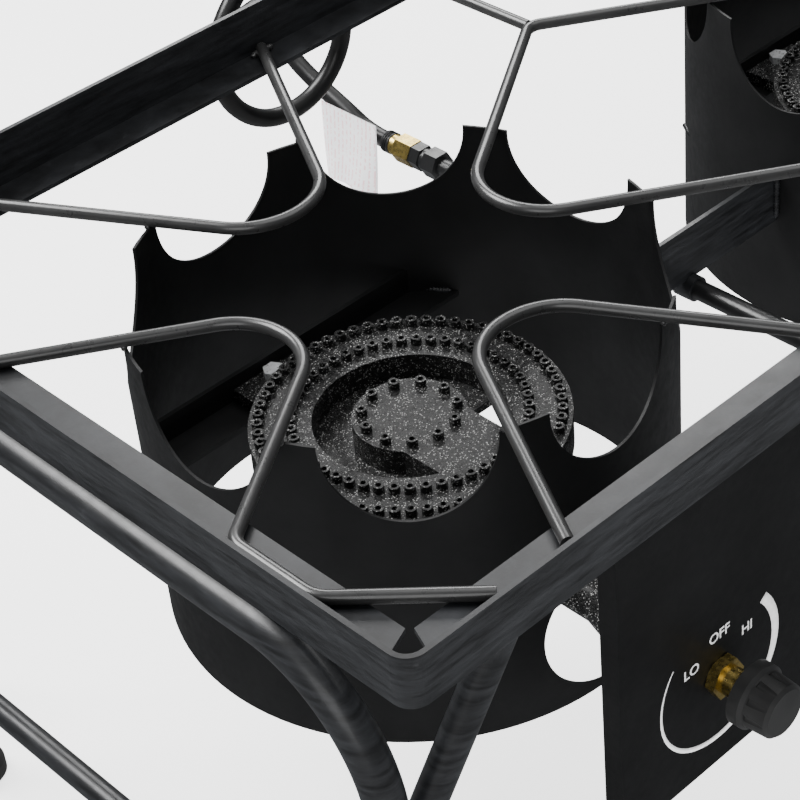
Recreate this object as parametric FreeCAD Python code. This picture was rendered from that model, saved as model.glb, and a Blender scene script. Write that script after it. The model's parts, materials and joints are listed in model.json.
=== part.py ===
"""Outdoor two-burner gas cooker stand for turkey-fryer pots.

Built in millimetres, +Z up, +X along the front to the right, +Y to the back.
The layout is worked out in the cooker's own frame (left burner axis at x = y = 0, pot rods at
z = 0) and every piece is moved at the end, so that the origin is the middle of the footprint on
the floor.
"""
import FreeCAD, Part
import math
import os

V = FreeCAD.Vector

# ---------------------------------------------------------------- driving dimensions
PITCH = 480.0                  # between the two burner axes
BURNERS = {"left": 0.0, "right": PITCH}
MIDDLE = PITCH / 2.0
FLOOR_Z = -395.0               # floor below the pot rods' centre plane

LEFT_X = -215.0                # outer face of the left wall
RIGHT_X = PITCH - LEFT_X       # outer face of the right wall
FRONT_Y = -233.0               # outer face of the front wall
BACK_Y = 251.0                 # outer face of the back wall
WALL = 3.0                     # strip thickness
WALL_TOP = 6.0
WALL_BOTTOM = -25.5
BACK_TOP = 29.0                # the back wall stands up as a splash guard
CORNER_R = 12.0
LEDGE_TOP = -4.0
LEDGE_W = 23.0                 # ledge reach from the outer face
BACK_LEDGE_W = 26.0
MITRE_GAP = 4.0

ROD_D = 7.5
NOSE_R = 42.0                  # centre-line radius of a rod's round nose
NOSE_C = 124.0                 # burner axis to the centre of a nose
END_ANGLE = math.radians(33.7)     # half opening of the rods at the ends of the stand
SIDE_ANGLE = math.radians(29.1)    # half opening of the front and back rods
ROD_BEND_R = 12.0

GUARD_R = 155.0                # outer radius of a wind guard
GUARD_T = 1.6
GUARD_TOP = -ROD_D / 2.0
GUARD_BOTTOM = -212.0
SCALLOP_R = 46.0
SCALLOP_COUNT = 8
GUARD_TURN = 3.5               # the scallops are this many degrees off the axes
PORT_Z = -161.0                # axis height of the gas tube's port in the guard
PORT_R = 47.0

BURNER_TOP = -104.0            # top of the burner casting's deck
BURNER_R = 94.0
BURNER_H = 22.0
RING_IN = 57.0
DISC_R = 34.0
NIPPLE_H = 4.5
NIPPLE_R = 3.3
NIPPLE_HOLE_R = 1.7
WEB_T = 5.0                    # floor of the groove between the ring and its centre
WEB_GAP = (24.0, 60.0, -60.0, -10.0)   # x0, x1, y0, y1 from the burner axis, where that floor is open

BAR_FRONT_Y = 88.0             # angle-iron bar that carries the burner
BAR_BACK_Y = 115.0
BAR_T = 3.0
BAR_Z = BURNER_TOP - BURNER_H - BAR_T
BAR_RISE = 20.0                # height of the bar's upright leg
EAR_T = 9.0                    # burner's cast ear, bolted to the bar
EAR_LEFT = 42.0
EAR_RIGHT = 8.0
BOLT_X = -16.0                 # from the burner axis
BOLT_Y = 103.0
BOLT_AF = 12.0                 # across flats of bolt head and nut

TUBE_D = 22.0                  # leg tube
TUBE_T = 1.5
LEG_BEND_R = 80.0
LEG_FRONT_Y = -205.0
LEG_BACK_Y = 223.0
FOOT_H = 14.0
BRACE_D = 18.0                 # corner brace from the ledge down to the leg
BRACE_REACH = 92.0
BRACE_FOOT_Z = -160.0

PANEL_W = 155.0                # control panel
PANEL_H = 206.0
PANEL_FLANGE = 12.0
SHEET = 1.5
KNOB_Z = PORT_Z                # valve, knob and gas tube share one axis
KNOB_R = 19.0
KNOB_H = 24.0
KNOB_Y0 = 20.0                 # air between panel face and knob
STEM_R = 4.0
RUN_FIT = 0.05                 # radial clearance of a turning or sliding fit
GAP = 0.4                      # air between pieces on different bodies

BELL_R = 20.0                  # open end of the gas tube
BELL_Y = -170.0
ORIFICE_TIP_Y = -166.0

PIPE_D = 13.0                  # gas pipe
PIPE_Z = -142.0                # the gas rail lies above the valves
PIPE_Y = -198.0                # and behind the panels
INLET_Y = 236.0                # end of the inlet pipe
TIE_Y = -5.0                   # plate between the guards
TIE_H = 39.5

HOSE_D = 12.7
HOSE_START_Y = 276.0
LOOP_CENTRE = (162.0, -35.0)   # x, z of the hanging loop behind the back wall
LOOP_CORNER_R = 54.0
HOOK_Y = 315.0                 # upright end of the wire hook
HOOK_R = 2.5
HOSE_RAIL_Y = 264.0
HOSE_RAIL_Z = 2.0
CLIP_X = (15.0, -70.0)
TAG_T = 1.0                    # paper tag against the side of the hose
TAG_W = 58.0
TAG_H = 62.0
TAG_BOTTOM = -190.0
COIL_CENTRE = (-244.0, 363.0)
COIL_IN = 53.0
COIL_OUT = 80.0
REGULATOR_Y = 446.0
REGULATOR_Z = FLOOR_Z + 19.0


def loop_corner(degrees, y):
    """A corner point of the hanging loop, at an angle from +X towards +Z."""
    az = math.radians(degrees)
    return (LOOP_CENTRE[0] + LOOP_CORNER_R * math.cos(az), y, LOOP_CENTRE[1] + LOOP_CORNER_R * math.sin(az))


HOSE_ROUTE = [
    (MIDDLE, HOSE_START_Y, PIPE_Z), (MIDDLE, 294.0, PIPE_Z), (MIDDLE, 318.0, -131.5), (240.5, 350.0, -121.0),
    (241.0, 380.0, -106.0), (241.0, 396.0, -72.0), (238.0, 392.0, -34.0), (228.0, 370.0, -4.0),
    (208.0, 338.0, 14.0), (180.0, 306.0, 20.0), loop_corner(112.5, 296.0), loop_corner(157.5, 292.0),
    loop_corner(202.5, 289.0), loop_corner(247.5, 286.0),
    loop_corner(292.5, 283.0), loop_corner(337.5, 280.0), loop_corner(22.5, 276.0), loop_corner(67.5, 271.0),
    loop_corner(112.5, 267.0), (98.0, 265.0, 9.0), (56.0, 264.3, 3.0), (15.0, HOSE_RAIL_Y, HOSE_RAIL_Z),
    (-30.0, HOSE_RAIL_Y + 0.4, HOSE_RAIL_Z - 0.6), (-70.0, HOSE_RAIL_Y, HOSE_RAIL_Z), (-118.0, 264.0, 1.0),
    (-158.0, 265.0, -12.0), (-180.0, 267.0, -44.0), (-186.0, 268.0, -95.0), (-186.0, 265.5, -150.0),
    (-185.5, 265.0, -203.0), (-185.0, 269.0, -252.0), (-185.0, 281.0, -299.0), (-185.0, 299.0, -342.0),
    (-185.0, 324.0, -370.0), (-185.0, 352.0, FLOOR_Z + HOSE_D / 2 + 0.1),
]

PARTS = {}                     # node name -> shape


# ---------------------------------------------------------------- helpers
def box(x0, x1, y0, y1, z0, z1):
    return Part.makeBox(x1 - x0, y1 - y0, z1 - z0, V(x0, y0, z0))


def cyl(r, h, base, axis=V(0, 0, 1)):
    return Part.makeCylinder(r, h, base, axis)


def ring(r_out, r_in, h, base, axis=V(0, 0, 1)):
    return cyl(r_out, h, base, axis).cut(cyl(r_in, h, base, axis))


def hexagon(across_flats, h, base, axis=V(0, 0, 1)):
    r = across_flats / math.sqrt(3.0)
    turn = FreeCAD.Rotation(V(0, 0, 1), axis)
    pts = [base + turn.multVec(V(r * math.cos(math.radians(60 * k)), r * math.sin(math.radians(60 * k)), 0))
           for k in range(7)]
    return Part.Face(Part.makePolygon(pts)).extrude(axis * h)


def extrude_outline(points, z0, z1):
    pts = [V(x, y, z0) for x, y in points]
    return Part.Face(Part.makePolygon(pts + [pts[0]])).extrude(V(0, 0, z1 - z0))


def rounded_path(points, radii):
    """Straight runs joined by tangent arcs; radii holds one radius for each inner point."""
    edges = []
    start = points[0]
    for before, corner, after, r in zip(points, points[1:], points[2:], radii):
        u = (before - corner).normalize()
        w = (after - corner).normalize()
        half = u.getAngle(w) / 2.0
        cut = r / math.tan(half)
        a = corner + u * cut
        b = corner + w * cut
        middle = (u + w).normalize()
        mid = corner + middle * (r / math.sin(half) - r)
        if (a - start).Length > 1e-6:
            edges.append(Part.LineSegment(start, a).toShape())
        edges.append(Part.Arc(a, mid, b).toShape())
        start = b
    edges.append(Part.LineSegment(start, points[-1]).toShape())
    return Part.Wire(edges)


def sweep(path, r, hole=0.0):
    first = path.Edges[0]
    start = first.valueAt(first.FirstParameter)
    along = first.tangentAt(first.FirstParameter)

    def one(radius):
        section = Part.Wire(Part.makeCircle(radius, start, along))
        return path.makePipeShell([section], True, False)

    solid = one(r)
    return solid.cut(one(hole)) if hole else solid


def turned(profile, base, axis):
    """A solid of revolution from (radius, height) points, standing on base along axis."""
    face = Part.Face(Part.makePolygon([V(r, 0, h) for r, h in profile] + [V(profile[0][0], 0, profile[0][1])]))
    solid = face.revolve(V(0, 0, 0), V(0, 0, 1), 360)
    solid.Placement = FreeCAD.Placement(base, FreeCAD.Rotation(V(0, 0, 1), axis))
    return solid


def mirror_x(shape):
    """Mirror across the stand's middle plane."""
    return shape.mirror(V(MIDDLE, 0, 0), V(1, 0, 0))


def add(name, shape):
    PARTS[name] = shape.removeSplitter() if len(shape.Solids) == 1 else shape


# ---------------------------------------------------------------- frame
def frame():
    outer = box(LEFT_X, RIGHT_X, FRONT_Y, BACK_Y - WALL, WALL_BOTTOM, WALL_TOP)
    inner = box(LEFT_X + WALL, RIGHT_X - WALL, FRONT_Y + WALL, BACK_Y, WALL_BOTTOM, WALL_TOP)

    def round_front(shape, r):
        bb = shape.BoundBox
        edges = [e for e in shape.Edges
                 if abs(e.tangentAt(e.FirstParameter).z) > 0.99 and abs(e.BoundBox.YMin - bb.YMin) < 0.01]
        return shape.makeFillet(r, edges)

    add("frame_band", round_front(outer, CORNER_R).cut(round_front(inner, CORNER_R - WALL)))

    z0 = LEDGE_TOP - WALL
    xi, yi = LEFT_X + WALL, FRONT_Y + WALL
    reach = LEDGE_W - WALL
    m = MITRE_GAP / math.sqrt(2.0)
    xr = RIGHT_X - WALL
    trim = CORNER_R
    add("front_ledge", extrude_outline([
        (xi + trim + m, yi), (xr - trim - m, yi), (xr - reach - m, yi + reach), (xi + reach + m, yi + reach)],
        z0, LEDGE_TOP))
    back = BACK_Y - BACK_LEDGE_W
    left = extrude_outline([
        (xi, yi + trim + m), (xi + reach, yi + reach + m), (xi + reach, back), (xi, back)], z0, LEDGE_TOP)
    add("left_ledge", left)
    add("right_ledge", mirror_x(left))

    rail = box(LEFT_X, RIGHT_X, BACK_Y - WALL, BACK_Y, z0, BACK_TOP)
    rail = rail.fuse(box(LEFT_X + WALL, RIGHT_X - WALL, back, BACK_Y - WALL, z0, LEDGE_TOP))
    add("back_rail", rail)


# ---------------------------------------------------------------- pot rods
def nose_points(cx, cy, heading, half, reach_a, reach_b):
    """Corner points of one V: leg end, nose corner, leg end. reach is a distance along each leg."""
    c = V(cx, cy, 0) + V(math.cos(heading), math.sin(heading), 0) * NOSE_C
    tip = c - V(math.cos(heading), math.sin(heading), 0) * (NOSE_R / math.sin(half))
    a = tip + V(math.cos(heading + half), math.sin(heading + half), 0) * reach_a
    b = tip + V(math.cos(heading - half), math.sin(heading - half), 0) * reach_b
    return a, tip, b


def leg_reach(distance, half):
    """Leg length from the sharp corner of a V to a wall line that is distance from the burner axis."""
    return (distance - (NOSE_C - NOSE_R / math.sin(half))) / math.cos(half)


def pot_rods():
    r = ROD_D / 2.0
    at_wall = -LEFT_X - WALL - r
    front = -FRONT_Y - WALL - r
    a, tip, b = nose_points(0, 0, math.pi, END_ANGLE, leg_reach(at_wall, END_ANGLE), leg_reach(at_wall, END_ANGLE))
    near, far = (a, b) if a.y < b.y else (b, a)
    run_end = V(-at_wall, near.y - 58.0, 0)
    stop = V(-at_wall + 57.0, -front + 1.0, 0)
    path = rounded_path([far, tip, near, run_end, stop], [NOSE_R, ROD_BEND_R, ROD_BEND_R * 1.5])
    left = sweep(path, r)
    add("pot_rod_left", left)
    add("pot_rod_right", mirror_x(left))

    back = BACK_Y - WALL - r
    for side, x in BURNERS.items():
        reach = leg_reach(front, SIDE_ANGLE)
        path = rounded_path(list(nose_points(x, 0, -math.pi / 2, SIDE_ANGLE, reach, reach)), [NOSE_R])
        add("pot_rod_front_" + side, sweep(path, r))
        reach = leg_reach(back, SIDE_ANGLE)
        path = rounded_path(list(nose_points(x, 0, math.pi / 2, SIDE_ANGLE, reach, reach)), [NOSE_R])
        add("pot_rod_back_" + side, sweep(path, r))

    # the middle rod is a closed diamond that serves both burners
    reach = leg_reach(MIDDLE, END_ANGLE)
    a, tip, b = nose_points(0, 0, 0, END_ANGLE, reach, reach)
    top, bottom = (a, b) if a.y > b.y else (b, a)
    far_tip = V(PITCH - tip.x, 0, 0)
    start = V((tip.x + top.x) / 2, (tip.y + top.y) / 2, 0)
    path = rounded_path([start, top, far_tip, bottom, tip, start], [ROD_BEND_R, NOSE_R, ROD_BEND_R, NOSE_R])
    add("pot_rod_middle", sweep(path, r))
    ties = [cyl(r, back - top.y - 0.2, V(MIDDLE, top.y + 0.2, 0), V(0, 1, 0)),
            cyl(r, front + bottom.y - 0.2, V(MIDDLE, -front, 0), V(0, 1, 0))]
    add("middle_tie_rods", Part.makeCompound([t.cut(PARTS["pot_rod_middle"]) for t in ties]))


# ---------------------------------------------------------------- wind guards
def wind_guard(x):
    shell = ring(GUARD_R, GUARD_R - GUARD_T, GUARD_TOP - GUARD_BOTTOM, V(x, 0, GUARD_BOTTOM))
    step = 360.0 / SCALLOP_COUNT
    for k in range(SCALLOP_COUNT):
        az = math.radians(k * step + GUARD_TURN)
        out = V(math.cos(az), math.sin(az), 0)
        base = V(x, 0, GUARD_TOP - 2.0) + out * (GUARD_R - 30.0)
        shell = shell.cut(cyl(SCALLOP_R, 60.0, base, out))
    shell = shell.cut(cyl(PORT_R, 60.0, V(x, -GUARD_R + 30.0, PORT_Z), V(0, -1, 0)))
    return shell


# ---------------------------------------------------------------- burners
def nipples(cx, radius, count, first, last, z):
    shapes = []
    for k in range(count):
        az = math.radians(first + (last - first) * k / (count - 1.0))
        shapes.append(V(cx + radius * math.cos(az), radius * math.sin(az), z))
    return shapes


def burner(x):
    z0 = BURNER_TOP - BURNER_H
    body = ring(BURNER_R, RING_IN, BURNER_H, V(x, 0, z0))
    disc = cyl(DISC_R, BURNER_H, V(x, 0, z0))
    bridge = box(x - 26, x + 26, -RING_IN - 8, -12, z0, BURNER_TOP)
    x0, x1, y0, y1 = WEB_GAP
    web = ring(RING_IN + 1.0, DISC_R - 1.0, WEB_T, V(x, 0, z0))
    web = web.cut(box(x + x0, x + x1, y0, y1, z0 - 1.0, z0 + WEB_T + 1.0))
    body = body.multiFuse([disc, bridge, web])
    spots = nipples(x, BURNER_R - 6.0, 60, -60, 285, BURNER_TOP)
    spots += nipples(x, BURNER_R - 25.0, 48, -60, 285, BURNER_TOP)
    spots += nipples(x, DISC_R - 6.0, 11, 0, 327, BURNER_TOP)
    body = body.multiFuse([cyl(NIPPLE_R, NIPPLE_H + 1, s - V(0, 0, 1)) for s in spots])
    # gas tube, cast in one with the ring, from under the bridge out through the guard's port
    cone_y = BELL_Y + 24.0
    tube = cyl(13.0, -cone_y - 30.0, V(x, -30.0, PORT_Z), V(0, -1, 0))
    neck = cyl(15.0, BURNER_TOP - PORT_Z - 4, V(x, -44.0, PORT_Z))
    bell = Part.makeCone(13.0, BELL_R, 24.0, V(x, cone_y, PORT_Z), V(0, -1, 0))
    body = body.multiFuse([tube, neck, bell])
    body = body.cut(cyl(9.5, 90.0, V(x, BELL_Y, PORT_Z), V(0, 1, 0)))
    body = body.cut(Part.makeCone(16.0, 9.5, 16.0, V(x, BELL_Y, PORT_Z), V(0, 1, 0)))
    # cast ear bolted down on the support bar
    body = body.fuse(box(x - EAR_LEFT, x + EAR_RIGHT, BURNER_R - 24.0, BAR_BACK_Y - BAR_T - 1.0, z0, z0 + EAR_T))
    body = body.cut(cyl(4.2, EAR_T + 4.0, V(x + BOLT_X, BOLT_Y, z0 - 2)))
    holes = [cyl(NIPPLE_HOLE_R, NIPPLE_H + 2, s - V(0, 0, 1)) for s in spots]
    return body.cut(Part.makeCompound(holes))


def burner_mount(x):
    """Angle-iron bar coped to the wind guard, with the bolt and nut that hold the burner's ear on it."""
    flat = box(x - GUARD_R, x + GUARD_R, BAR_FRONT_Y, BAR_BACK_Y, BAR_Z, BAR_Z + BAR_T)
    upright = box(x - GUARD_R, x + GUARD_R, BAR_BACK_Y - BAR_T, BAR_BACK_Y, BAR_Z, BAR_Z + BAR_RISE)
    bar = flat.fuse(upright).common(cyl(GUARD_R - GUARD_T, 60.0, V(x, 0, BAR_Z - 20.0)))
    bar = bar.cut(cyl(4.2, 20.0, V(x + BOLT_X, BOLT_Y, BAR_Z - 8)))
    top = BURNER_TOP - BURNER_H + EAR_T
    bolt = hexagon(BOLT_AF, 5.0, V(x + BOLT_X, BOLT_Y, top))
    bolt = bolt.fuse(cyl(3.9, 22.0, V(x + BOLT_X, BOLT_Y, top - 22.0)))
    nut = hexagon(BOLT_AF, 6.0, V(x + BOLT_X, BOLT_Y, BAR_Z - 6.0))
    return bar, bolt, nut.cut(cyl(3.95, 8.0, V(x + BOLT_X, BOLT_Y, BAR_Z - 7.0)))


# ---------------------------------------------------------------- legs
def legs():
    x = LEFT_X + WALL / 2.0
    z = WALL_BOTTOM - TUBE_D / 2.0
    bottom = FLOOR_Z + FOOT_H - 10.0
    points = [V(x, LEG_FRONT_Y, bottom), V(x, LEG_FRONT_Y, z), V(x, LEG_BACK_Y, z), V(x, LEG_BACK_Y, bottom)]
    path = rounded_path(points, [LEG_BEND_R, LEG_BEND_R])
    solid_loop = sweep(path, TUBE_D / 2)
    loop = solid_loop.cut(sweep(path, TUBE_D / 2 - TUBE_T))
    add("leg_loop_left", loop)
    add("leg_loop_right", mirror_x(loop))

    foot_profile = [(0, 0), (15, 0), (17, 3), (17, 12), (TUBE_D / 2 + 2, 26), (TUBE_D / 2, 26), (TUBE_D / 2, 4), (0, 4)]
    feet = [turned(foot_profile, V(fx, fy, FLOOR_Z), V(0, 0, 1))
            for fx in (x, PITCH - x) for fy in (LEG_FRONT_Y, LEG_BACK_Y)]
    add("foot_caps", Part.makeCompound(feet))

    def brace(y_rail, y_leg):
        start = V(x + BRACE_REACH, y_rail, LEDGE_TOP + 8.0)
        end = V(x, y_leg, BRACE_FOOT_Z)
        rod = cyl(BRACE_D / 2, (end - start).Length, start, (end - start).normalize())
        ledge = box(x, MIDDLE, FRONT_Y, BACK_Y, LEDGE_TOP - WALL, LEDGE_TOP + 60.0)
        return max(rod.cut(solid_loop).cut(ledge).Solids, key=lambda piece: piece.Volume)

    front = brace(FRONT_Y + WALL + BRACE_D / 2 + 0.5, LEG_FRONT_Y)
    back = brace(BACK_Y - WALL - BRACE_D / 2 - 0.5, LEG_BACK_Y)
    add("brace_front_left", front)
    add("brace_back_left", back)
    add("brace_front_right", mirror_x(front))
    add("brace_back_right", mirror_x(back))

    low = FLOOR_Z + 95.0
    rung = cyl(8.0, LEG_BACK_Y - LEG_FRONT_Y, V(x, LEG_FRONT_Y, low), V(0, 1, 0)).cut(solid_loop)
    rung = max(rung.Solids, key=lambda piece: piece.Volume)
    add("side_rung_left", rung)
    add("side_rung_right", mirror_x(rung))


# ---------------------------------------------------------------- gas train
def gas_train():
    r = PIPE_D / 2
    bore = r - 2.5
    rail = cyl(r, PITCH + 60.0, V(-30.0, PIPE_Y, PIPE_Z), V(1, 0, 0))
    rail = rail.cut(cyl(bore, PITCH + 50.0, V(-25.0, PIPE_Y, PIPE_Z), V(1, 0, 0)))
    for x in BURNERS.values():
        rail = rail.cut(cyl(2.5, 12.0, V(x, PIPE_Y, PIPE_Z), V(0, 0, -1)))
    rail = rail.cut(cyl(bore, 12.0, V(MIDDLE, PIPE_Y, PIPE_Z), V(0, 1, 0)))
    add("gas_rail", rail)
    inlet_start = PIPE_Y + r + 1.0
    tee = cyl(11.0, 34.0, V(MIDDLE - 17.0, PIPE_Y, PIPE_Z), V(1, 0, 0))
    tee = tee.fuse(cyl(11.0, 22.0, V(MIDDLE, PIPE_Y, PIPE_Z), V(0, 1, 0)))
    tee = tee.cut(cyl(r, 36.0, V(MIDDLE - 18.0, PIPE_Y, PIPE_Z), V(1, 0, 0)))
    tee = tee.cut(cyl(r, 30.0, V(MIDDLE, inlet_start, PIPE_Z), V(0, 1, 0)))
    tee = tee.cut(cyl(bore, 30.0, V(MIDDLE, PIPE_Y, PIPE_Z), V(0, 1, 0)))
    add("gas_tee", tee)
    add("inlet_pipe", ring(r, bore, INLET_Y - inlet_start, V(MIDDLE, inlet_start, PIPE_Z), V(0, 1, 0)))

    # plate welded between the two guards, standing on the inlet pipe and strapped to it
    tie_z = PIPE_Z + r
    tie = box(0, PITCH, TIE_Y - WALL / 2, TIE_Y + WALL / 2, tie_z, tie_z + TIE_H)
    for x in BURNERS.values():
        tie = tie.cut(cyl(GUARD_R, TIE_H + 20.0, V(x, 0, tie_z - 10)))
    strap = ring(r + 2.0, r, 14.0, V(MIDDLE, TIE_Y - 7.0, PIPE_Z), V(0, 1, 0))
    tie = tie.fuse(strap.cut(box(0, PITCH, TIE_Y - WALL / 2, TIE_Y + WALL / 2, tie_z, tie_z + TIE_H)))
    add("guard_tie_bar", tie)

    hex_a = hexagon(19.0, 12.0, V(MIDDLE, INLET_Y - 16, PIPE_Z), V(0, 1, 0))
    hex_b = hexagon(17.0, 9.0, V(MIDDLE, INLET_Y + 1.0, PIPE_Z), V(0, 1, 0))
    neck = cyl(8.0, 26.0, V(MIDDLE, INLET_Y - 16, PIPE_Z), V(0, 1, 0))
    adapter = hex_a.multiFuse([hex_b, neck]).cut(cyl(r, 18.0, V(MIDDLE, INLET_Y - 18.0, PIPE_Z), V(0, 1, 0)))
    add("inlet_adapter", adapter.cut(cyl(3.5, 30.0, V(MIDDLE, INLET_Y - 2, PIPE_Z), V(0, 1, 0))))
    y = INLET_Y + 10.0
    nut = hexagon(18.0, 16.0, V(MIDDLE, y, PIPE_Z), V(0, 1, 0)).fuse(cyl(7.5, 22.0, V(MIDDLE, y, PIPE_Z), V(0, 1, 0)))
    add("hose_nut", nut.cut(cyl(3.0, 24.0, V(MIDDLE, y - 1, PIPE_Z), V(0, 1, 0))))
    y += 22.0
    add("hose_ferrule", ring(8.2, 3.0, HOSE_START_Y - y, V(MIDDLE, y, PIPE_Z), V(0, 1, 0)))


def control(x):
    """Panel, valve, stem, knob and air shutter of one burner."""
    face = FRONT_Y + WALL
    half = PANEL_W / 2.0
    top = WALL_BOTTOM + 4.0
    bottom = top - PANEL_H
    panel = box(x - half, x + half, face, face + PANEL_FLANGE, bottom, top)
    panel = panel.cut(box(x - half + SHEET, x + half - SHEET, face + SHEET, face + 50, bottom + SHEET, top))
    panel = panel.cut(cyl(11.0, 10.0, V(x, face - 1, KNOB_Z), V(0, 1, 0)))
    out = V(0, -1, 0)
    body = cyl(12.5, 24.0, V(x, face + SHEET + 24.5, KNOB_Z), out)
    body = body.fuse(cyl(10.9, 5.0, V(x, face + SHEET + 1.0, KNOB_Z), out))
    body = body.fuse(hexagon(22.0, 6.0, V(x, face - 0.5, KNOB_Z), out))
    body = body.fuse(cyl(10.0, 5.0, V(x, face + 1.0, KNOB_Z), out))
    body = body.fuse(cyl(8.5, 14.0, V(x, face - 1, KNOB_Z), out))
    rear_y = PIPE_Y + 7.2
    stub_top = PIPE_Z - PIPE_D / 2
    stub = cyl(5.5, stub_top - KNOB_Z, V(x, PIPE_Y, KNOB_Z))
    rear = cyl(8.0, rear_y - (face + SHEET + 24.0), V(x, rear_y, KNOB_Z), out)
    body = body.multiFuse([stub, rear])
    body = body.cut(cyl(STEM_R + RUN_FIT, 34.0, V(x, face + 14.0, KNOB_Z), out))
    orifice = hexagon(12.0, 7.0, V(x, rear_y, KNOB_Z), V(0, 1, 0))
    orifice = orifice.fuse(cyl(4.0, ORIFICE_TIP_Y - rear_y, V(x, rear_y, KNOB_Z), V(0, 1, 0)))
    orifice = orifice.cut(cyl(1.0, ORIFICE_TIP_Y - rear_y, V(x, rear_y, KNOB_Z), V(0, 1, 0)))
    # round stem: slides in the valve, and the knob turns on it
    tip = face - KNOB_Y0 - KNOB_H + 5.0
    stem = cyl(STEM_R, face + 9.0 - tip, V(x, face + 9.0, KNOB_Z), out)
    knob_base = V(x, face - KNOB_Y0, KNOB_Z)
    profile = [(0, 0), (KNOB_R, 0), (KNOB_R, 7), (KNOB_R - 2, 9), (KNOB_R - 3, KNOB_H - 2), (KNOB_R - 5, KNOB_H),
               (0, KNOB_H)]
    knob = turned(profile, knob_base, out)
    for k in range(10):
        az = math.radians(36.0 * k)
        centre = knob_base + V(math.cos(az), 0, math.sin(az)) * (KNOB_R + 0.5) - V(0, 10.0, 0)
        knob = knob.cut(cyl(3.6, KNOB_H, centre, out))
    knob = knob.cut(cyl(STEM_R + RUN_FIT, KNOB_H - 4.0, knob_base + V(0, 1, 0), out))
    # a shutter disc turns on the orifice in front of the gas tube's bell
    disc = cyl(BELL_R, 2.0, V(x, BELL_Y - GAP, KNOB_Z), out)
    for k in range(2):
        az = math.radians(180.0 * k)
        window = cyl(5.5, 4.0, V(x + 12.5 * math.cos(az), BELL_Y + 1, KNOB_Z + 12.5 * math.sin(az)), out)
        disc = disc.cut(window)
    disc = disc.fuse(box(x - 3, x + 3, BELL_Y - GAP - 2, BELL_Y - GAP - 0.2, KNOB_Z + BELL_R - 2, KNOB_Z + BELL_R + 8))
    disc = disc.cut(cyl(4.0 + RUN_FIT, 6.0, V(x, BELL_Y + 1, KNOB_Z), out))
    return {"control_panel": panel, "valve_body": body, "orifice": orifice, "valve_stem": stem, "knob": knob,
            "air_shutter": disc}


# ---------------------------------------------------------------- hose
def cord_path(points):
    """Straight runs joined by tangent arcs, each as large as its two runs allow."""
    radii = []
    for before, corner, after in zip(points, points[1:], points[2:]):
        u, w = before - corner, after - corner
        half_turn = (math.pi - u.getAngle(w)) / 2.0
        radii.append(0.45 * min(u.Length, w.Length) / math.tan(half_turn))
    print("hose radii", [round(r) for r in radii])
    return rounded_path(points, radii)


def hose():
    points = [V(*p) for p in HOSE_ROUTE]
    path = cord_path(points)
    tube = sweep(path, HOSE_D / 2)
    print("hose length", round(path.Length), "section volume check",
          round(tube.Volume / (math.pi * (HOSE_D / 2) ** 2 * path.Length), 3))
    add("hose", tube)
    cx, cy = COIL_CENTRE
    coil = ring(COIL_OUT, COIL_IN, HOSE_D + 0.6, V(cx, cy, FLOOR_Z))
    add("hose_coil", coil.cut(tube))
    x = cx + COIL_OUT - HOSE_D / 2
    tail_start = V(x, cy + 2.0, FLOOR_Z + HOSE_D / 2 + 0.1)
    tail_end = V(x, REGULATOR_Y, REGULATOR_Z)
    mid_a = V(x, cy + 26.0, tail_start.z)
    mid_b = V(x, REGULATOR_Y - 22.0, REGULATOR_Z)
    tail = sweep(cord_path([tail_start, mid_a, mid_b, tail_end]), HOSE_D / 2).cut(coil)
    add("hose_tail", tail)

    y = REGULATOR_Y
    along = V(0, 1, 0)
    body = cyl(29.0, 30.0, V(x, y + 44.0, FLOOR_Z)).fuse(cyl(33.0, 8.0, V(x, y + 44.0, FLOOR_Z + 12.0)))
    body = body.fuse(cyl(16.0, 12.0, V(x, y + 44.0, FLOOR_Z + 28.0)))
    body = body.fuse(cyl(9.0, 30.0, V(x, y, REGULATOR_Z), along))
    body = body.fuse(cyl(9.0, 34.0, V(x, y + 60.0, REGULATOR_Z), along))
    body = body.fuse(cyl(5.0, 24.0, V(x, y + 90.0, REGULATOR_Z), along))
    add("regulator", body)
    nut_y = y + 94.0 + GAP
    nut = cyl(18.0, 26.0, V(x, nut_y, REGULATOR_Z), along)
    nut = nut.cut(cyl(13.0, 24.0, V(x, nut_y + 4.0, REGULATOR_Z), along))
    for k in range(8):
        az = math.radians(45.0 * k)
        groove = V(x + 19.0 * math.cos(az), nut_y + 2.0, REGULATOR_Z + 19.0 * math.sin(az))
        nut = nut.cut(cyl(3.0, 30.0, groove, along))
    nut = nut.cut(cyl(5.0 + RUN_FIT, 10.0, V(x, nut_y - 2.0, REGULATOR_Z), along))
    add("tank_nut", nut)

    # a wire hook on the back wall carries the hanging loop, and two clips hold the run beside it
    hx, hz = LOOP_CENTRE
    hook_z = hz + LOOP_CORNER_R * math.sin(math.radians(67.5)) - HOSE_D / 2 - HOOK_R - 0.3
    path = rounded_path([V(hx, BACK_Y, hook_z), V(hx, HOOK_Y, hook_z), V(hx, HOOK_Y, hook_z + 24.0)], [6.0])
    add("hose_hook", sweep(path, HOOK_R))
    clips = []
    for x in CLIP_X:
        y = HOSE_RAIL_Y
        band = ring(HOSE_D / 2 + 2.4, HOSE_D / 2 + 1.0, 12.0, V(x - 6, y, HOSE_RAIL_Z), V(1, 0, 0))
        lug = box(x - 6, x + 6, BACK_Y, y - HOSE_D / 2 - 1.2, HOSE_RAIL_Z - 6, HOSE_RAIL_Z + 8)
        clips.append(band.fuse(lug))
    add("hose_clips", Part.makeCompound(clips))
    side = MIDDLE - HOSE_D / 2
    y = HOSE_START_Y + 3.0
    add("hose_tag", box(side - TAG_T, side, y, y + TAG_W, TAG_BOTTOM, TAG_BOTTOM + TAG_H))


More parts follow.
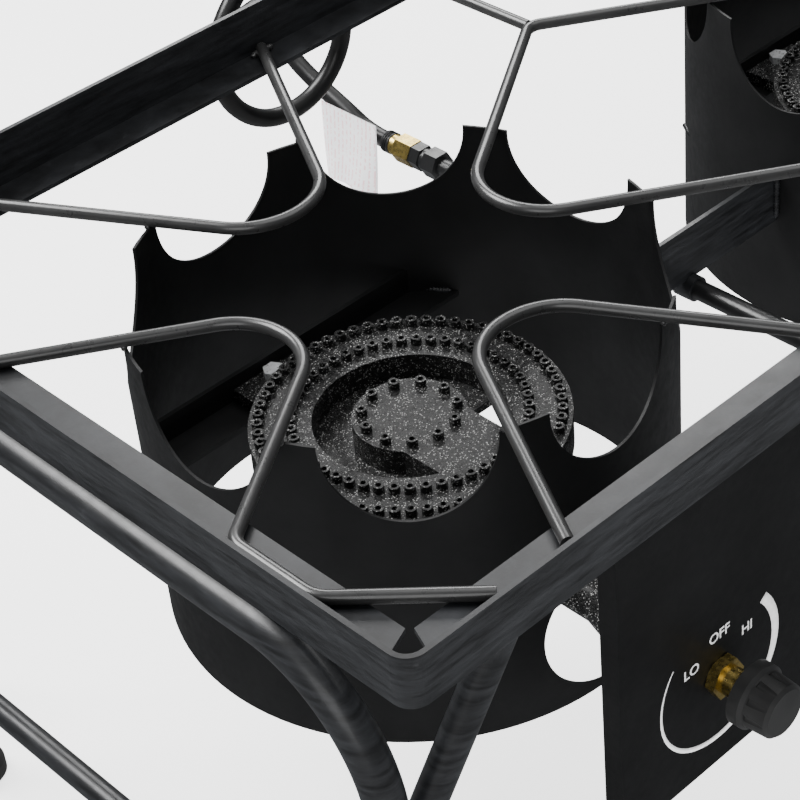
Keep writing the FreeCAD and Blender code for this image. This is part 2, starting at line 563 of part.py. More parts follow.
def main():
    frame()
    pot_rods()
    for side, x in BURNERS.items():
        add("wind_guard_" + side, wind_guard(x))
        add("burner_" + side, burner(x))
        bar, bolt, nut = burner_mount(x)
        add("burner_bar_" + side, bar)
        add("burner_bolt_" + side, Part.makeCompound([bolt, nut]))
        for name, shape in control(x).items():
            add(name + "_" + side, shape)
    legs()
    gas_train()
    hose()
    os.makedirs("parts", exist_ok=True)
    knob_front = FRONT_Y + WALL - KNOB_Y0 - KNOB_H
    shift = V(-MIDDLE, -(knob_front + HOOK_Y + HOOK_R) / 2, -FLOOR_Z)
    for name, shape in PARTS.items():
        shape.translate(shift)
        shape.exportStep("parts/" + name + ".step")
        print(name, "solids", len(shape.Solids), "valid", shape.isValid(), "volume", round(shape.Volume))
    print("shift", shift)


main()
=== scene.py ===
"""Looks of the two-burner turkey fryer cooker: materials, welds, dial, hose, tag, light and camera."""
import json
import math

import bmesh
import bpy
from mathutils import Matrix, Vector


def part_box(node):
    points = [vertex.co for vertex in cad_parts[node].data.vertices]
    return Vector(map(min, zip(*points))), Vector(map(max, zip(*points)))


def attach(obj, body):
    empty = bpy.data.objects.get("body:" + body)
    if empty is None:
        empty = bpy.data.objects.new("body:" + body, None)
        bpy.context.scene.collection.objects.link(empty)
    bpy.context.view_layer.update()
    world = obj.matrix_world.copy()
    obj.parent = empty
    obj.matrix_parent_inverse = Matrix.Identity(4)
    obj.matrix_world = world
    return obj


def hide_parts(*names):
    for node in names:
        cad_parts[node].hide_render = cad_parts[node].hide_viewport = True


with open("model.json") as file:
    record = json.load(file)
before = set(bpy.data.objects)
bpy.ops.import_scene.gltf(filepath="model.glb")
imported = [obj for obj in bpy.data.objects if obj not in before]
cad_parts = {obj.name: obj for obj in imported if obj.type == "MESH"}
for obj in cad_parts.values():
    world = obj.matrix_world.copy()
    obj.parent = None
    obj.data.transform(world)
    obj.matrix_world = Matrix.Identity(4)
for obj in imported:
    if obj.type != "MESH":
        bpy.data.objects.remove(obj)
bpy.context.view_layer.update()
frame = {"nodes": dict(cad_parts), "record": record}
NODES = frame["nodes"]
SIDES = ("left", "right")

# ---------------------------------------------------------------- driving sizes, in metres
GUARD_LOW, GUARD_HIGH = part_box("wind_guard_left")
AXIS_X = (GUARD_LOW.x + GUARD_HIGH.x) / 2          # left burner's axis
AXIS_Y = (GUARD_LOW.y + GUARD_HIGH.y) / 2
ROD_LOW, ROD_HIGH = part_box("pot_rod_left")
ROD_Z = (ROD_LOW.z + ROD_HIGH.z) / 2               # centre plane of the pot rods
ROD_R = (ROD_HIGH.z - ROD_LOW.z) / 2
BAND_LOW, BAND_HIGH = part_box("frame_band")
MIRROR_X = (BAND_LOW.x + BAND_HIGH.x) / 2          # middle plane of the stand
GUARD_R = (GUARD_HIGH.x - GUARD_LOW.x) / 2
MM = 0.001
NOSE_C = 124.0                                     # burner axis to the centre of a rod's nose, in mm
NOSE_R = 42.0
HALF = {"end": math.radians(33.7), "side": math.radians(29.1)}     # half opening of the V rods
ROD_BEAD = 0.0022                                  # radii of the weld beads
RIM_TACK = 0.0019
STITCH = 0.0021
CORNER_BEAD = 0.0016
GUARD_BEAD = 0.0022
STRIP = 0.003                                      # thickness of the frame's strips


def at(x, y, z):
    """A point given in millimetres from the left burner's axis and the rods' centre plane."""
    return Vector((AXIS_X + x * MM, AXIS_Y + y * MM, ROD_Z + z * MM))


# ---------------------------------------------------------------- node helpers
class Look:
    """A material whose nodes are added one by one."""

    def __init__(self, name):
        self.material = bpy.data.materials.new(name)
        self.material.use_nodes = True
        self.nodes = self.material.node_tree.nodes
        self.links = self.material.node_tree.links
        self.shader = self.nodes["Principled BSDF"]
        self.place = self.add("ShaderNodeTexCoord").outputs["Object"]

    def add(self, kind, **settings):
        node = self.nodes.new(kind)
        for key, value in settings.items():
            setattr(node, key, value)
        return node

    def noise(self, scale, detail=3.0, roughness=0.55, stretch=None):
        node = self.add("ShaderNodeTexNoise")
        node.inputs["Scale"].default_value = scale
        node.inputs["Detail"].default_value = detail
        node.inputs["Roughness"].default_value = roughness
        where = self.place
        if stretch:
            mapping = self.add("ShaderNodeMapping")
            mapping.inputs["Scale"].default_value = stretch
            self.links.new(where, mapping.inputs["Vector"])
            where = mapping.outputs["Vector"]
        self.links.new(where, node.inputs["Vector"])
        return node.outputs["Fac"]

    def ramp(self, value, stops):
        node = self.add("ShaderNodeValToRGB")
        element = node.color_ramp.elements
        while len(element) < len(stops):
            element.new(0.5)
        for spot, (place, colour) in zip(element, stops):
            spot.position = place
            spot.color = colour if len(colour) == 4 else (*colour, 1.0)
        self.links.new(value, node.inputs["Fac"])
        return node.outputs["Color"]

    def remap(self, value, low, high, out_low, out_high):
        node = self.add("ShaderNodeMapRange")
        for key, number in (("From Min", low), ("From Max", high), ("To Min", out_low), ("To Max", out_high)):
            node.inputs[key].default_value = number
        self.links.new(value, node.inputs["Value"])
        return node.outputs["Result"]

    def bump(self, height, strength, distance, below=None):
        node = self.add("ShaderNodeBump")
        node.inputs["Strength"].default_value = strength
        node.inputs["Distance"].default_value = distance
        self.links.new(height, node.inputs["Height"])
        if below is not None:
            self.links.new(below, node.inputs["Normal"])
        return node.outputs["Normal"]

    def set(self, **values):
        for key, value in values.items():
            self.shader.inputs[key.replace("_", " ")].default_value = value

    def link(self, output, key):
        self.links.new(output, self.shader.inputs[key])


def grey(value, tint=0.0):
    """A grey, a little bluer for a tint above zero."""
    return (value * (1 - tint), value, value * (1 + 2 * tint))


def paint(name, dark, light, rough, orange_peel=0.25, coat=0.0, tint=0.02, shine=0.5):
    """Sprayed or powdered black coat: faint cloudiness, dust specks, orange peel."""
    look = Look(name)
    cloud = look.noise(22.0, 4.0)
    look.link(look.ramp(cloud, [(0.3, grey(dark, tint)), (0.7, grey(light, tint))]), "Base Color")
    look.link(look.remap(look.noise(140.0, 5.0, 0.65), 0.3, 0.7, rough - 0.06, rough + 0.08), "Roughness")
    peel = look.bump(look.noise(900.0, 2.0), orange_peel, 0.00012)
    look.link(look.bump(look.noise(60.0, 3.0), 0.25, 0.0004, peel), "Normal")
    look.set(Coat_Weight=coat, Coat_Roughness=0.18, Specular_IOR_Level=shine)
    return look.material


def scraped_paint(name):
    """Coat over hot-rolled bar: long mill streaks, small scratches and pale dusty rubs."""
    look = Look(name)
    streak = look.noise(30.0, 6.0, 0.7, (1.0, 1.0, 9.0))
    rub = look.noise(75.0, 8.0, 0.75)
    base = look.ramp(streak, [(0.35, grey(0.005, 0.05)), (0.7, grey(0.024, 0.06))])
    mix = look.add("ShaderNodeMix", data_type="RGBA")
    look.links.new(look.remap(rub, 0.60, 0.80, 0.0, 0.40), mix.inputs["Factor"])
    look.links.new(base, mix.inputs["A"])
    mix.inputs["B"].default_value = (*grey(0.07, 0.04), 1.0)
    look.link(mix.outputs["Result"], "Base Color")
    look.link(look.remap(rub, 0.3, 0.75, 0.30, 0.50), "Roughness")
    peel = look.bump(look.noise(700.0, 2.0), 0.22, 0.0001)
    look.link(look.bump(streak, 0.35, 0.0003, peel), "Normal")
    look.set(Coat_Weight=0.2, Coat_Roughness=0.22, Specular_IOR_Level=0.42)
    return look.material


def cast_iron(name):
    """Sand-cast iron dipped in gloss black: coarse grain, pits, and painted glints: pale flecks in the base
    colour that stand for sparkling highlights.
    """
    look = Look(name)
    grain = look.noise(620.0, 4.0, 0.7)
    coarse = look.noise(170.0, 4.0, 0.6)
    # painted glints: Voronoi cells gated by noise mark small spots that get a pale base colour standing for
    # sparkles of light
    painted_glint_cells = look.add("ShaderNodeTexVoronoi")
    painted_glint_cells.inputs["Scale"].default_value = 760.0
    look.links.new(look.place, painted_glint_cells.inputs["Vector"])
    base = look.ramp(coarse, [(0.35, grey(0.002)), (0.7, grey(0.008))])
    mix = look.add("ShaderNodeMix", data_type="RGBA")
    painted_glint_spots = look.remap(painted_glint_cells.outputs["Distance"], 0.18, 0.34, 1.0, 0.0)
    painted_glint_gate = look.add("ShaderNodeMath", operation="MULTIPLY")
    look.links.new(painted_glint_spots, painted_glint_gate.inputs[0])
    look.links.new(look.remap(look.noise(240.0, 3.0), 0.42, 0.52, 0.0, 1.0), painted_glint_gate.inputs[1])
    look.links.new(painted_glint_gate.outputs["Value"], mix.inputs["Factor"])
    look.links.new(base, mix.inputs["A"])
    # painted highlight: the pale grey of the glint flecks
    mix.inputs["B"].default_value = (0.46, 0.46, 0.45, 1.0)
    look.link(mix.outputs["Result"], "Base Color")
    look.link(look.remap(grain, 0.3, 0.7, 0.18, 0.46), "Roughness")
    fine = look.bump(grain, 1.0, 0.0012)
    look.link(look.bump(coarse, 0.55, 0.0010, fine), "Normal")
    look.set(Coat_Weight=0.1, Coat_Roughness=0.12, Specular_IOR_Level=0.26)
    return look.material


def metal(name, colour, rough, metallic=1.0, scale=400.0):
    """Machined or plated metal with fine tool marks and slight tarnish."""
    look = Look(name)
    marks = look.noise(scale, 4.0, 0.6)
    tarnish = look.noise(120.0, 5.0, 0.7)
    darker = tuple(c * 0.62 for c in colour)
    look.link(look.ramp(tarnish, [(0.3, darker), (0.65, colour)]), "Base Color")
    look.link(look.remap(marks, 0.3, 0.7, rough - 0.07, rough + 0.12), "Roughness")
    look.link(look.bump(marks, 0.2, 0.0001), "Normal")
    look.set(Metallic=metallic)
    return look.material


def moulded(name, dark, light, rough, grain=800.0, strength=0.3):
    """Moulded plastic or rubber with a fine grain and a dusty bloom."""
    look = Look(name)
    bloom = look.noise(45.0, 5.0, 0.6)
    look.link(look.ramp(bloom, [(0.35, grey(dark)), (0.75, grey(light))]), "Base Color")
    look.link(look.remap(bloom, 0.3, 0.7, rough - 0.05, rough + 0.1), "Roughness")
    look.link(look.bump(look.noise(grain, 3.0), strength, 0.00015), "Normal")
    return look.material


def tag_paper(name):
    """White paper with soft creases and rows of broken pale red bars that stand for print."""
    look = Look(name)
    rows = look.add("ShaderNodeTexWave", wave_type="BANDS", bands_direction="X")
    rows.inputs["Scale"].default_value = 75.0
    rows.inputs["Distortion"].default_value = 0.0
    uv = look.add("ShaderNodeTexCoord").outputs["UV"]
    mapping = look.add("ShaderNodeMapping")
    mapping.inputs["Scale"].default_value = (0.058, 0.062, 1.0)
    look.links.new(uv, mapping.inputs["Vector"])
    look.links.new(mapping.outputs["Vector"], rows.inputs["Vector"])
    line = look.remap(rows.outputs["Fac"], 0.62, 0.8, 0.0, 1.0)
    breaks = look.add("ShaderNodeTexNoise")
    breaks.inputs["Scale"].default_value = 330.0
    look.links.new(mapping.outputs["Vector"], breaks.inputs["Vector"])
    word = look.remap(breaks.outputs["Fac"], 0.47, 0.52, 0.0, 0.75)
    both = look.add("ShaderNodeMath", operation="MULTIPLY")
    look.links.new(line, both.inputs[0])
    look.links.new(word, both.inputs[1])
    mix = look.add("ShaderNodeMix", data_type="RGBA")
    look.links.new(both.outputs["Value"], mix.inputs["Factor"])
    look.links.new(look.ramp(look.noise(60.0), [(0.3, (0.90, 0.90, 0.93)), (0.7, (0.97, 0.97, 0.98))]),
                   mix.inputs["A"])
    mix.inputs["B"].default_value = (0.86, 0.50, 0.54, 1.0)
    look.link(mix.outputs["Result"], "Base Color")
    look.link(look.remap(look.noise(200.0), 0.3, 0.7, 0.55, 0.75), "Roughness")
    look.link(look.bump(look.noise(90.0, 4.0), 0.3, 0.0006), "Normal")
    return look.material


LOOKS = {
    "black_paint": scraped_paint("black_paint"),
    "rod_paint": paint("rod_paint", 0.022, 0.038, 0.30, 0.15, 0.35, 0.0),
    "guard_paint": paint("guard_paint", 0.0048, 0.0080, 0.46, 0.35, shine=0.24),
    "panel_paint": paint("panel_paint", 0.0045, 0.0065, 0.5, 0.3, shine=0.14),
    "burner_iron": cast_iron("burner_iron"),
    "zinc_steel": metal("zinc_steel", (0.86, 0.87, 0.88), 0.30, 0.55),
    "valve_brass": metal("valve_brass", (0.70, 0.52, 0.16), 0.26),
    "knob_plastic": moulded("knob_plastic", 0.012, 0.022, 0.42),
    "black_pipe": paint("black_pipe", 0.008, 0.016, 0.34, 0.3, 0.2),
    "hose_rubber": moulded("hose_rubber", 0.006, 0.012, 0.33, 500.0, 0.2),
    "foot_rubber": moulded("foot_rubber", 0.012, 0.028, 0.65),
    "regulator_metal": metal("regulator_metal", (0.34, 0.35, 0.36), 0.42, scale=250.0),
    "nut_plastic": moulded("nut_plastic", 0.010, 0.020, 0.38),
    "tag_paper": tag_paper("tag_paper"),
}


def dress_cad_nodes():
    for entry in frame["record"]["subparts"]:
        thing = NODES[entry["node"]]
        thing.data.materials.clear()
        thing.data.materials.append(LOOKS[entry["material_slot"]])


# ---------------------------------------------------------------- mesh helpers
def piece(name, mesh, slot, body="root"):
    """An object made from a bmesh, smooth shaded, riding on a body."""
    data = bpy.data.meshes.new(name)
    mesh.to_mesh(data)
    mesh.free()
    for face in data.polygons:
        face.use_smooth = True
    thing = bpy.data.objects.new(name, data)
    bpy.context.scene.collection.objects.link(thing)
    data.materials.append(LOOKS[slot])
    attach(thing, body)
    return thing


def add_bead(mesh, start, end, radius, pitch=0.0022, sides=8):
    """A rippled weld bead from start to end, closed at both ends."""
    along = end - start
    length = along.length
    along.normalize()
    side = along.orthogonal().normalized()
    up = along.cross(side)
    count = max(4, int(length / pitch * 4))
    rings = []
    for k in range(count + 1):
        t = k / count
        swell = math.sqrt(max(0.02, 1 - (2 * t - 1) ** 6))
        ripple = 1.0 + 0.16 * math.sin(t * length / pitch * 2 * math.pi)
        wander = 0.12 * radius * math.sin(t * 9.0 + length * 700)
        r = radius * swell * ripple
        centre = start + along * (length * t) + side * wander
        rings.append([mesh.verts.new(centre + (side * math.cos(a) + up * math.sin(a)) * r)
                      for a in (2 * math.pi * j / sides for j in range(sides))])
    for low, high in zip(rings, rings[1:]):
        for j in range(sides):
            mesh.faces.new((low[j], low[(j + 1) % sides], high[(j + 1) % sides], high[j]))
    mesh.faces.new(list(reversed(rings[0])))
    mesh.faces.new(rings[-1])


def beads(name, runs, slot="black_paint"):
    """One piece of several weld beads; runs holds (start, end, radius)."""
    mesh = bmesh.new()
    for start, end, radius in runs:
        add_bead(mesh, start, end, radius)
    return piece(name, mesh, slot)


def flip(point):
    """The same point at the other end of the stand."""
    return Vector((2 * MIRROR_X - point.x, point.y, point.z))


def turned(name, profile, base, axis, slot, steps=48):
    """A solid of revolution from (radius, height) points in millimetres, standing on base along axis."""
    mesh = bmesh.new()
    turn = Vector((0, 0, 1)).rotation_difference(Vector(axis)).to_matrix().to_4x4()
    rings = []
    for r, h in profile:
        rings.append([mesh.verts.new((r * MM * math.cos(a), r * MM * math.sin(a), h * MM))
                      for a in (2 * math.pi * j / steps for j in range(steps))])
    for low, high in zip(rings, rings[1:]):
        for j in range(steps):
            mesh.faces.new((low[j], low[(j + 1) % steps], high[(j + 1) % steps], high[j]))
    mesh.faces.new(list(reversed(rings[0])))
    mesh.faces.new(rings[-1])
    bmesh.ops.transform(mesh, matrix=Matrix.Translation(base) @ turn, verts=mesh.verts)
    bmesh.ops.recalc_face_normals(mesh, faces=mesh.faces)
    return piece(name, mesh, slot)


# ---------------------------------------------------------------- welds
def leg_at(heading, half, sign, distance):
    """Where a V rod's leg is, that distance from the burner axis along the heading, in millimetres."""
    wide = NOSE_R / math.cos(half) + (distance - NOSE_C) * math.tan(half)
    c, s = math.cos(heading), math.sin(heading)
    return distance * c - sign * wide * s, distance * s + sign * wide * c


def weld_rods():
    """Beads where the V rods meet the walls, and tacks where they cross the rims of the wind guards."""
    runs = []
    repeat = Vector((2 * (MIRROR_X - AXIS_X), 0, 0))
    walls = ((math.pi, "end", 209.0), (-math.pi / 2, "side", 227.0), (math.pi / 2, "side", 244.0))
    for heading, half, wall in walls:
        for sign in (-1, 1):
            x, y = leg_at(heading, HALF[half], sign, wall)
            across = Vector((-math.sin(heading), math.cos(heading), 0)) * 9 * MM
            low = at(x, y, -ROD_R / MM * 0.55)
            for centre in (low, flip(low) if half == "end" else low + repeat):
                runs.append((centre - across, centre + across, ROD_BEAD))
            rim_x, rim_y = rim_crossing(heading, HALF[half], sign)
            spot = at(rim_x, rim_y, -ROD_R / MM * 0.8)
            tangent = Vector((-rim_y, rim_x, 0)).normalized() * 4 * MM
            for shift in (Vector((0, 0, 0)), repeat):
                if half == "end" and shift.length:
                    here = flip(spot)
                    t = Vector((-tangent.x, tangent.y, 0))
                else:
                    here, t = spot + shift, tangent
                runs.append((here - t, here + t, RIM_TACK))
    beads("weld_rods", runs, "rod_paint")


def rim_crossing(heading, half, sign):
    """Where a V rod's leg crosses the rim of the wind guard, in millimetres from the burner axis."""
    low, high = 100.0, 155.0
    for _ in range(40):
        middle = (low + high) / 2
        x, y = leg_at(heading, half, sign, middle)
        if math.hypot(x, y) < GUARD_R / MM:
            low = middle
        else:
            high = middle
    return leg_at(heading, half, sign, low)


def weld_frame():
    """Stitches under the ledges and at the corners of the back rail."""
    band_low, band_high = BAND_LOW, BAND_HIGH
    ledge_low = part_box("front_ledge")[0]
    back_low, back_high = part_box("back_rail")
    under = ledge_low.z - 0.0006
    runs = []
    for k in range(6):
        x = band_low.x + 0.09 + k * (band_high.x - band_low.x - 0.18) / 5
        for y in (band_low.y + STRIP, back_high.y - STRIP - 0.001):
            runs.append((Vector((x - 0.013, y, under)), Vector((x + 0.013, y, under)), STITCH))
    for k in range(4):
        y = band_low.y + 0.075 + k * (band_high.y - band_low.y - 0.15) / 3
        for x in (band_low.x + STRIP, band_high.x - STRIP):
            runs.append((Vector((x, y - 0.013, under)), Vector((x, y + 0.013, under)), STITCH))
    # corners where the back rail stands on the side strips
    for x in (back_low.x + 0.0015, back_high.x - 0.0015):
        z = band_high.z + 0.0006
        runs.append((Vector((x, back_low.y, z)), Vector((x, back_high.y - 0.004, z)), CORNER_BEAD))
    beads("weld_frame", runs)


def weld_guards():
    """Upright beads where the plate meets the two guards, and where each bar meets its guard."""
    runs = []
    low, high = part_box("guard_tie_bar")
    for x in (low.x + 0.0012, high.x - 0.0012):
        for y in (-5.0 - 2.2, -5.0 + 2.2):
            edge = AXIS_Y + y * MM
            runs.append((Vector((x, edge, high.z - 0.036)), Vector((x, edge, high.z - 0.003)), GUARD_BEAD))
    for side in SIDES:
        bar_low, bar_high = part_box("burner_bar_" + side)
        for x in (bar_low.x + 0.003, bar_high.x - 0.003):
            z = bar_low.z + 0.0035
            inward = 0.010 if x < (bar_low.x + bar_high.x) / 2 else -0.010
            start = Vector((x, bar_low.y + 0.003, z))
            runs.append((start, start + Vector((inward, 0.017, 0)), GUARD_BEAD))
    beads("weld_guards", runs)


# ---------------------------------------------------------------- control panels
def flat_text(name, words, size, x, z, face_y):
    """Printed lettering on a panel's face, as a thin flat mesh."""
    curve = bpy.data.curves.new(name, "FONT")
    curve.body = words
    curve.size = size
    curve.align_x = "CENTER"
    curve.align_y = "CENTER"
    curve.extrude = 0.00004
    curve.offset = size * 0.012
    text = bpy.data.objects.new(name + "_curve", curve)
    bpy.context.scene.collection.objects.link(text)
    bpy.context.view_layer.update()
    data = bpy.data.meshes.new_from_object(text)
    bpy.data.objects.remove(text)
    data.transform(Matrix.Translation((x, face_y - 0.00009, z)) @ Matrix.Rotation(math.radians(90), 4, "X"))
    data.name = name
    thing = bpy.data.objects.new(name, data)
    bpy.context.scene.collection.objects.link(thing)
    data.materials.clear()
    data.materials.append(LOOKS["dial_white"])
    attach(thing, "root")
    return thing


def printed_arc(name, x, z, face_y, radius, first, last, widest):
    """A crescent that grows from nothing to its full width along an arc of a dial."""
    mesh = bmesh.new()
    steps = 60
    inner, outer = [], []
    for k in range(steps + 1):
        t = k / steps
        a = math.radians(first + (last - first) * t)
        half = widest * (0.12 + 0.88 * t) / 2
        for row, r in ((inner, radius - half), (outer, radius + half)):
            row.append(mesh.verts.new((x + r * math.cos(a), face_y - 0.00012, z + r * math.sin(a))))
    for k in range(steps):
        mesh.faces.new((inner[k], inner[k + 1], outer[k + 1], outer[k]))
    bmesh.ops.recalc_face_normals(mesh, faces=mesh.faces)
    bmesh.ops.solidify(mesh, geom=mesh.faces[:], thickness=0.00008)
    thing = piece(name, mesh, "panel_paint")
    thing.data.materials.clear()
    thing.data.materials.append(LOOKS["dial_white"])
    return thing


def dial_white():
    look = Look("dial_white")
    look.link(look.ramp(look.noise(300.0), [(0.3, grey(0.80)), (0.7, grey(0.92))]), "Base Color")
    look.link(look.remap(look.noise(500.0), 0.3, 0.7, 0.4, 0.6), "Roughness")
    return look.material


LOOKS["dial_white"] = dial_white()


DIAL_TEXT = 0.0095              # height of the lettering
DIAL_TEXT_R = 0.0285            # knob axis to the middle of a word
DIAL_ARC_R = 0.0465


def dials():
    for side in SIDES:
        low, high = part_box("knob_" + side)
        x, z = (low.x + high.x) / 2, (low.z + high.z) / 2
        face_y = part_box("control_panel_" + side)[0].y
        for words, degrees in (("LO", 142.0), ("OFF", 90.0), ("HI", 38.0)):
            a = math.radians(degrees)
            flat_text("dial_" + words.lower() + "_" + side, words, DIAL_TEXT, x + DIAL_TEXT_R * math.cos(a),
                      z + DIAL_TEXT_R * math.sin(a), face_y)
        printed_arc("dial_arc_" + side, x, z, face_y, DIAL_ARC_R, 142.0, 400.0, 0.0066)


# ---------------------------------------------------------------- hose
HOSE_D = 12.7
FLOOR = -395.0
PIPE_Z = -142.0
MIDDLE = 240.0
HOSE_START_Y = 276.0
LOOP_CENTRE = (162.0, -35.0)
LOOP_CORNER_R = 54.0
HOSE_RAIL_Y = 264.0
HOSE_RAIL_Z = 2.0
COIL_CENTRE = (-244.0, 363.0)
REGULATOR_Y = 446.0
REGULATOR_Z = FLOOR + 19.0
HOSE_LIE = FLOOR + HOSE_D / 2 + 0.1


def loop_corner(degrees, y):
    a = math.radians(degrees)
    return (LOOP_CENTRE[0] + LOOP_CORNER_R * math.cos(a), y, LOOP_CENTRE[1] + LOOP_CORNER_R * math.sin(a))


HOSE_ROUTE = [
    (MIDDLE, HOSE_START_Y, PIPE_Z), (MIDDLE, 294.0, PIPE_Z), (MIDDLE, 318.0, -131.5), (240.5, 350.0, -121.0),
    (241.0, 380.0, -106.0), (241.0, 396.0, -72.0), (238.0, 392.0, -34.0), (228.0, 370.0, -4.0),
    (208.0, 338.0, 14.0), (180.0, 306.0, 20.0), loop_corner(112.5, 296.0), loop_corner(157.5, 292.0),
    loop_corner(202.5, 289.0), loop_corner(247.5, 286.0),
    loop_corner(292.5, 283.0), loop_corner(337.5, 280.0), loop_corner(22.5, 276.0), loop_corner(67.5, 271.0),
    loop_corner(112.5, 267.0), (98.0, 265.0, 9.0), (56.0, 264.3, 3.0), (15.0, HOSE_RAIL_Y, HOSE_RAIL_Z),
    (-30.0, HOSE_RAIL_Y + 0.4, HOSE_RAIL_Z - 0.6), (-70.0, HOSE_RAIL_Y, HOSE_RAIL_Z), (-118.0, 264.0, 1.0),
    (-158.0, 265.0, -12.0), (-180.0, 267.0, -44.0), (-186.0, 268.0, -95.0), (-186.0, 265.5, -150.0),
    (-185.5, 265.0, -203.0), (-185.0, 269.0, -252.0), (-185.0, 281.0, -299.0), (-185.0, 299.0, -342.0),
    (-185.0, 324.0, -370.0),
]
COIL_FIRST = -10.5             # degrees round the coil's centre where the hose comes in
COIL_SWEEP = 370.5
COIL_STEP = 14.25
COIL_R_IN = 60.3
COIL_R_OUT = 73.65
TAIL_X = COIL_CENTRE[0] + COIL_R_OUT


def coil_points():
    """The turn on the floor, anticlockwise from above, widening so that its end passes outside its start."""
    cx, cy = COIL_CENTRE
    points = []
    count = round(COIL_SWEEP / COIL_STEP)
    for k in range(count + 1):
        sweep = COIL_SWEEP * k / count
        r = COIL_R_IN + (COIL_R_OUT - COIL_R_IN) * k / count
        a = math.radians(COIL_FIRST + sweep)
        points.append((cx + r * math.cos(a), cy + r * math.sin(a), HOSE_LIE))
    return points


def hose():
    tail = [(TAIL_X, COIL_CENTRE[1] + 26.0, HOSE_LIE), (TAIL_X, REGULATOR_Y - 42.0, HOSE_LIE + 6.0),
            (TAIL_X, REGULATOR_Y - 22.0, REGULATOR_Z), (TAIL_X, REGULATOR_Y + 1.0, REGULATOR_Z)]
    route = HOSE_ROUTE + coil_points() + tail
    curve = bpy.data.curves.new("gas_hose", "CURVE")
    curve.dimensions = "3D"
    spline = curve.splines.new("NURBS")
    spline.points.add(len(route) - 1)
    for spot, point in zip(spline.points, route):
        spot.co = (*at(*point), 1.0)
    spline.order_u = 3
    spline.use_endpoint_u = True
    spline.resolution_u = 8
    curve.bevel_depth = HOSE_D / 2 * MM
    curve.bevel_resolution = 6
    curve.use_fill_caps = True
    thing = bpy.data.objects.new("gas_hose", curve)
    bpy.context.scene.collection.objects.link(thing)
    curve.materials.append(LOOKS["hose_rubber"])
    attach(thing, "root")
    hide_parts("hose", "hose_coil", "hose_tail")
    return thing


def hose_end():
    """Crimped ferrule that tapers on to the hose."""
    low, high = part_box("hose_ferrule")
    base = Vector(((low.x + high.x) / 2, low.y, (low.z + high.z) / 2))
    length = (high.y - low.y) / MM
    profile = [(7.4, 0.0), (8.1, 0.5)]
    for k in range(3):
        h = length * (0.28 + 0.22 * k)
        profile += [(8.1, h - 0.9), (7.35, h - 0.4), (7.35, h + 0.4), (8.1, h + 0.9)]
    profile += [(7.9, length - 0.6), (6.6, length)]
    ferrule = turned("ferrule", profile, base, (0, 1, 0), "black_pipe")
    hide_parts("hose_ferrule")


def regulator_trim():
    """Bolts round the regulator's flange, a vent and a raised ring on its cover."""
    low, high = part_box("regulator")
    cx, cy, _ = at(TAIL_X, REGULATOR_Y + 44.0, 0)
    base_z = low.z + 0.020
    things = []
    for k in range(6):
        a = math.radians(60 * k + 30)
        spot = Vector((cx + 0.0305 * math.cos(a), cy + 0.0305 * math.sin(a), base_z - 0.0002))
        head = [(2.4, 0), (2.4, 1.6), (1.9, 2.2), (0.6, 2.4)]
        things.append(turned("regulator_bolt_%d" % k, head, spot, (0, 0, 1), "zinc_steel", steps=6))
    cap = [(12.5, 0), (12.5, 1.2), (11.0, 2.2), (9.2, 2.2), (8.4, 1.4), (0.6, 1.2)]
    top = Vector((cx, cy, high.z - 0.0001))
    things.append(turned("regulator_cap", cap, top, (0, 0, 1), "regulator_metal"))
    return things


def paper_tag():
    """A leaflet that hangs beside the hose, held at its top edge, with a curl that grows downward."""
    low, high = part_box("hose_tag")
    mesh = bmesh.new()
    uv = mesh.loops.layers.uv.new("tag")
    across, along = 26, 30
    side_x = high.x
    width, height = high.y - low.y, high.z - low.z
    grid = []
    for i in range(along + 1):
        v = i / along
        row = []
        for j in range(across + 1):
            u = j / across
            drop = v * height
            y = low.y + u * width + 0.004 * v * math.sin(2.2 * u + 0.4)
            curl = 0.0065 * v * v * math.sin(3.0 * u + 0.5) + 0.0016 * math.sin(9.0 * u) * v
            z = high.z - drop + 0.003 * v * math.sin(4 * u)
            row.append(mesh.verts.new((side_x - 0.0004 - curl - 0.0012 * v, y, z)))
        grid.append(row)
    for i in range(along):
        for j in range(across):
            face = mesh.faces.new((grid[i][j], grid[i][j + 1], grid[i + 1][j + 1], grid[i + 1][j]))
            for loop, (a, b) in zip(face.loops, ((j, i), (j + 1, i), (j + 1, i + 1), (j, i + 1))):
                loop[uv].uv = (a / across, b / along)
    bmesh.ops.recalc_face_normals(mesh, faces=mesh.faces)
    tag = piece("paper_tag", mesh, "tag_paper")
    thick = tag.modifiers.new("thick", "SOLIDIFY")
    thick.thickness = 0.00025
    thick.offset = 0
    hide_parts("hose_tag")


# ---------------------------------------------------------------- stage, light and camera
def stage():
    size = 14.0
    data = bpy.data.meshes.new("floor")
    corners = [(-size, -size, 0), (size, -size, 0), (size, size, 0), (-size, size, 0)]
    data.from_pydata(corners, [], [(0, 1, 2, 3)])
    floor = bpy.data.objects.new("floor", data)
    bpy.context.scene.collection.objects.link(floor)
    look = Look("floor_white")
    look.link(look.ramp(look.noise(3.0), [(0.3, grey(0.93)), (0.7, grey(0.96))]), "Base Color")
    look.set(Roughness=0.7, Emission_Color=(1.0, 1.0, 1.0, 1.0), Emission_Strength=2.2)
    data.materials.append(look.material)
    floor.visible_glossy = False


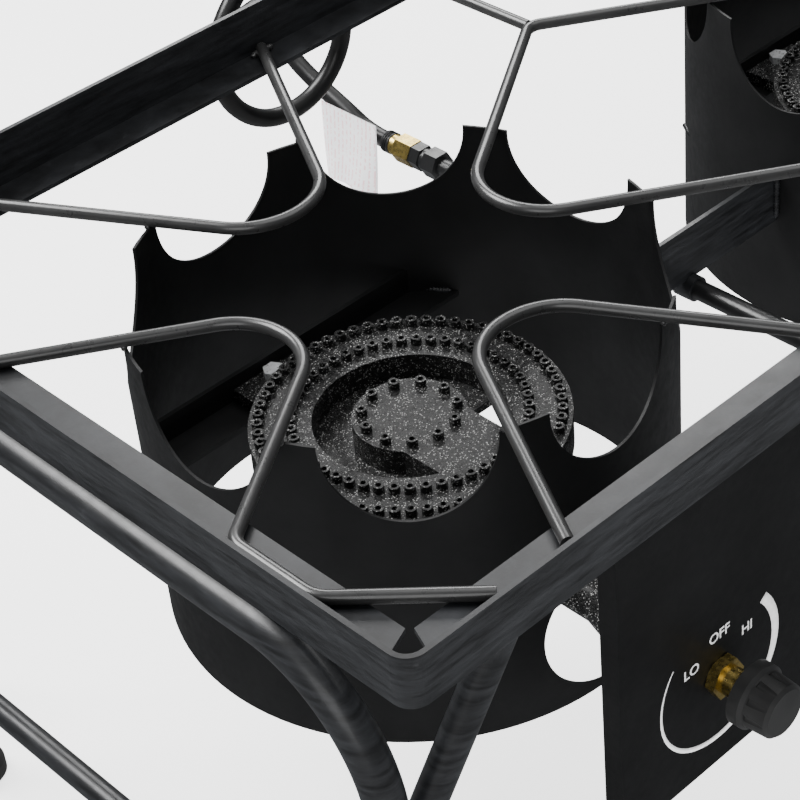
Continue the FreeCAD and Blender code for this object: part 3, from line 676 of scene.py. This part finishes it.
def lamp(name, place, target, size, watts):
    light = bpy.data.lights.new(name, "AREA")
    light.shape = "RECTANGLE"
    light.size, light.size_y = size
    light.energy = watts
    thing = bpy.data.objects.new(name, light)
    thing.location = place
    thing.rotation_euler = (Vector(target) - Vector(place)).to_track_quat("-Z", "Y").to_euler()
    bpy.context.scene.collection.objects.link(thing)


def lights():
    world = bpy.data.worlds.new("studio")
    world.use_nodes = True
    background = world.node_tree.nodes["Background"]
    background.inputs["Color"].default_value = (0.95, 0.97, 1.0, 1.0)
    background.inputs["Strength"].default_value = 0.20
    bpy.context.scene.world = world
    lamp("key", (-0.9, 1.6, 2.4), (0.0, 0.0, 0.35), (1.8, 1.2), 120.0)
    lamp("fill", (-2.2, -1.2, 1.5), (-0.2, 0.0, 0.3), (1.6, 1.6), 20.0)
    lamp("top", (0.6, -0.4, 2.6), (0.0, 0.0, 0.3), (2.2, 2.2), 30.0)
    lamp("back", (1.7, 2.0, 2.1), (-0.2, -0.1, 0.38), (1.5, 1.1), 48.0)


CAMERA_FROM_AXIS = (-664.5, -779.6, 700.8)     # millimetres
CAMERA_HEADING = math.radians(50.017)          # from +X towards +Y
CAMERA_DIP = math.radians(37.656)
CAMERA_ROLL = math.radians(-6.042)


def camera():
    data = bpy.data.cameras.new("camera")
    data.lens = 101.8
    data.sensor_width = 36.0
    data.shift_x = 0.008
    data.shift_y = -0.005
    data.clip_start = 0.05
    ahead = math.cos(CAMERA_DIP)
    look = Vector((math.cos(CAMERA_HEADING) * ahead, math.sin(CAMERA_HEADING) * ahead, -math.sin(CAMERA_DIP)))
    level = Vector((math.sin(CAMERA_HEADING), -math.cos(CAMERA_HEADING), 0))
    raised = level.cross(look)
    right = math.cos(CAMERA_ROLL) * level + math.sin(CAMERA_ROLL) * raised
    up = -math.sin(CAMERA_ROLL) * level + math.cos(CAMERA_ROLL) * raised
    turn = Matrix((right, up, -look)).transposed().to_4x4()
    thing = bpy.data.objects.new("camera", data)
    thing.matrix_world = Matrix.Translation(at(*CAMERA_FROM_AXIS)) @ turn
    bpy.context.scene.collection.objects.link(thing)
    bpy.context.scene.camera = thing


dress_cad_nodes()
weld_rods()
weld_frame()
weld_guards()
dials()
HOSE = hose()
hose_end()
TRIM = regulator_trim()
paper_tag()
stage()
lights()
camera()
